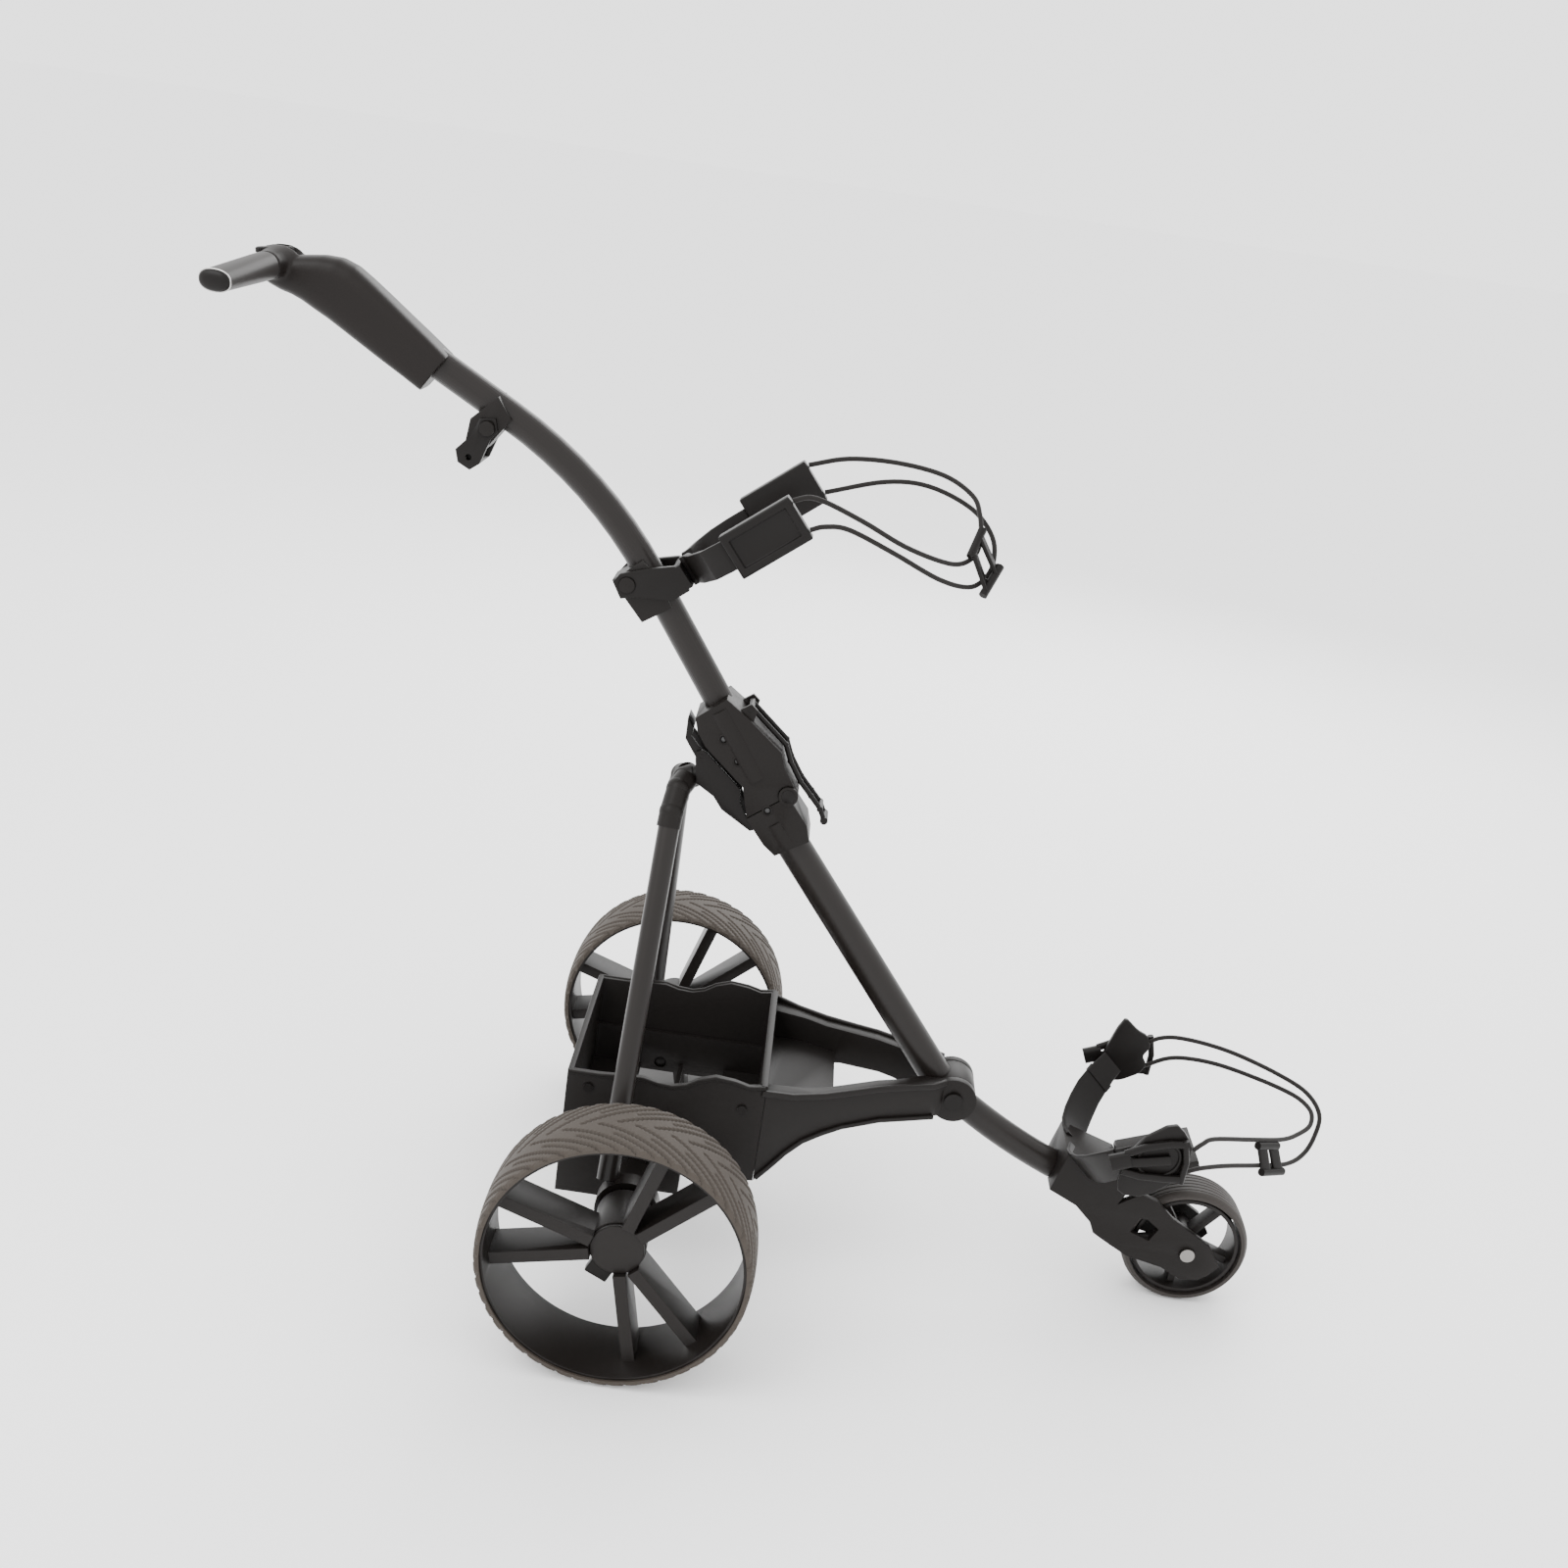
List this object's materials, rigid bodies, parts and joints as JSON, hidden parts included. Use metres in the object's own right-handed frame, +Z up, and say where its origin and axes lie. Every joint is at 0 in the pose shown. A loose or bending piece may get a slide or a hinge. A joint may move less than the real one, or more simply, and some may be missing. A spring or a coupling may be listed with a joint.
{
  "type": "powered golf trolley",
  "caption": "Powered golf trolley in black plastic and painted tube, folded out, with battery tray, A-shaped stay, hinged shaft with dial handle and two corded bag supports; no bag.",
  "frame": {"origin": "on the ground at mid length, under the middle of the lower tube", "axes": "+X forward to the front wheel, +Y left, +Z up"},
  "size_m": [1.2108, 0.608, 0.9918],
  "materials": {
    "body_plastic": "satin",
    "rim_plastic": "satin",
    "detail_plastic": "satin",
    "handle_plastic": "satin",
    "tube_paint": "satin",
    "pin_steel": "satin",
    "motor_steel": "satin",
    "tyre_rubber": "matte",
    "front_rubber": "matte",
    "grip_rubber": "matte",
    "cord_cloth": "matte"
  },
  "bodies": {
    "chassis": {"base_tray": "body_plastic", "gearbox_case": "body_plastic", "drive_motor": "motor_steel", "bearing_boss_r": "body_plastic", "bearing_boss_l": "body_plastic", "knuckle_pin": "detail_plastic", "tray_bolts": "detail_plastic"},
    "wheel_r": {"drive_shaft_r": "pin_steel", "rim_r": "rim_plastic", "tyre_r": "tyre_rubber", "hub_cap_r": "rim_plastic"},
    "tab_r": {"release_tab_r": "detail_plastic"},
    "wheel_l": {"drive_shaft_l": "pin_steel", "rim_l": "rim_plastic", "tyre_l": "tyre_rubber", "hub_cap_l": "rim_plastic"},
    "tab_l": {"release_tab_l": "detail_plastic"},
    "main_frame": {"lower_tube": "tube_paint", "knuckle_barrel": "body_plastic", "front_tube": "tube_paint", "front_fork": "body_plastic", "front_axle_pin": "pin_steel", "hinge_lower": "body_plastic", "fold_pivot_pin": "pin_steel", "clip_bracket": "detail_plastic", "cradle_band_r": "detail_plastic", "cradle_band_l": "detail_plastic", "cradle_pad_r": "detail_plastic", "cradle_pad_l": "detail_plastic", "bag_rest": "body_plastic", "cord_lower_a": "cord_cloth", "cord_lower_b": "cord_cloth", "cord_clip_lower": "detail_plastic"},
    "stay_release": {"clip_lever": "detail_plastic"},
    "front_wheel": {"front_rim": "rim_plastic", "front_tyre": "front_rubber"},
    "stay": {"stay_leg_r": "tube_paint", "stay_leg_l": "tube_paint", "stay_head": "body_plastic"},
    "upper_shaft": {"shaft_tube": "tube_paint", "hinge_upper": "body_plastic", "bag_bracket": "body_plastic", "catch_collar": "body_plastic", "handle_lower_shell": "handle_plastic", "handle_upper_shell": "handle_plastic", "grip_r": "grip_rubber", "grip_l": "grip_rubber", "grip_caps": "detail_plastic"},
    "latch_lever": {"fold_lever": "detail_plastic"},
    "bag_support": {"bag_yoke": "detail_plastic", "bag_band_r": "detail_plastic", "bag_band_l": "detail_plastic", "bag_pad_r": "detail_plastic", "bag_pad_l": "detail_plastic", "cord_upper_a": "cord_cloth", "cord_upper_b": "cord_cloth", "cord_clip_upper": "detail_plastic"},
    "catch": {"fold_catch": "detail_plastic"},
    "dial_push": {"dial_stem": "pin_steel"},
    "dial": {"speed_dial": "detail_plastic"}
  },
  "joints": [
    {"name": "rear_wheel_r_spin", "type": "hinge", "parent": "chassis", "child": "wheel_r", "pos_m": [-0.1, 0, 0.135], "axis": [0, 1, 0], "continuous": true},
    {"name": "rear_wheel_l_spin", "type": "hinge", "parent": "chassis", "child": "wheel_l", "pos_m": [-0.1, 0, 0.135], "axis": [0, 1, 0], "continuous": true},
    {"name": "release_tab_r_press", "type": "slide", "parent": "wheel_r", "child": "tab_r", "axis": [0.4384, 0, 0.8988], "range_m": [0, 0.003], "stiffness_N_per_m": 700},
    {"name": "release_tab_l_press", "type": "slide", "parent": "wheel_l", "child": "tab_l", "axis": [0.4384, 0, 0.8988], "range_m": [0, 0.003], "stiffness_N_per_m": 700},
    {"name": "main_fold", "type": "hinge", "parent": "chassis", "child": "main_frame", "pos_m": [0.225, 0, 0.212], "axis": [0, -1, 0], "range_deg": [0, 35]},
    {"name": "stay_fold", "type": "hinge", "parent": "chassis", "child": "stay", "pos_m": [-0.1, 0, 0.135], "axis": [0, -1, 0], "range_deg": [0, 91]},
    {"name": "stay_release_turn", "type": "hinge", "parent": "main_frame", "child": "stay_release", "pos_m": [-0.093, 0, 0.557], "axis": [0, -1, 0], "range_deg": [0, 12]},
    {"name": "shaft_fold", "type": "hinge", "parent": "main_frame", "child": "upper_shaft", "pos_m": [0, 0, 0.53], "axis": [0, 1, 0], "range_deg": [0, 105]},
    {"name": "latch_lever_turn", "type": "hinge", "parent": "upper_shaft", "child": "latch_lever", "pos_m": [-0.05, 0, 0.613], "axis": [0, -1, 0], "range_deg": [0, 100]},
    {"name": "bag_support_fold", "type": "hinge", "parent": "upper_shaft", "child": "bag_support", "pos_m": [-0.187, 0, 0.723], "axis": [0, -1, 0], "range_deg": [0, 35]},
    {"name": "fold_catch_turn", "type": "hinge", "parent": "upper_shaft", "child": "catch", "pos_m": [-0.336, 0, 0.854], "axis": [0, 1, 0], "range_deg": [-12, 12]},
    {"name": "dial_press", "type": "slide", "parent": "upper_shaft", "child": "dial_push", "axis": [0.1392, 0, -0.9903], "range_m": [0, 0.0012], "stiffness_N_per_m": 900},
    {"name": "dial_turn", "type": "hinge", "parent": "dial_push", "child": "dial", "pos_m": [-0.553, 0, 0.981], "axis": [-0.1392, 0, 0.9903], "range_deg": [-150, 150]},
    {"name": "front_wheel_spin", "type": "hinge", "parent": "main_frame", "child": "front_wheel", "pos_m": [0.51, 0, 0.07], "axis": [0, 1, 0], "continuous": true}
  ],
  "couplings": [
    {"joint": "stay_fold", "follows": "main_fold", "ratio": 2.6},
    {"joint": "stay_release_turn", "follows": "main_fold", "ratio": 0.34286},
    {"joint": "latch_lever_turn", "follows": "shaft_fold", "ratio": 0.95238}
  ]
}
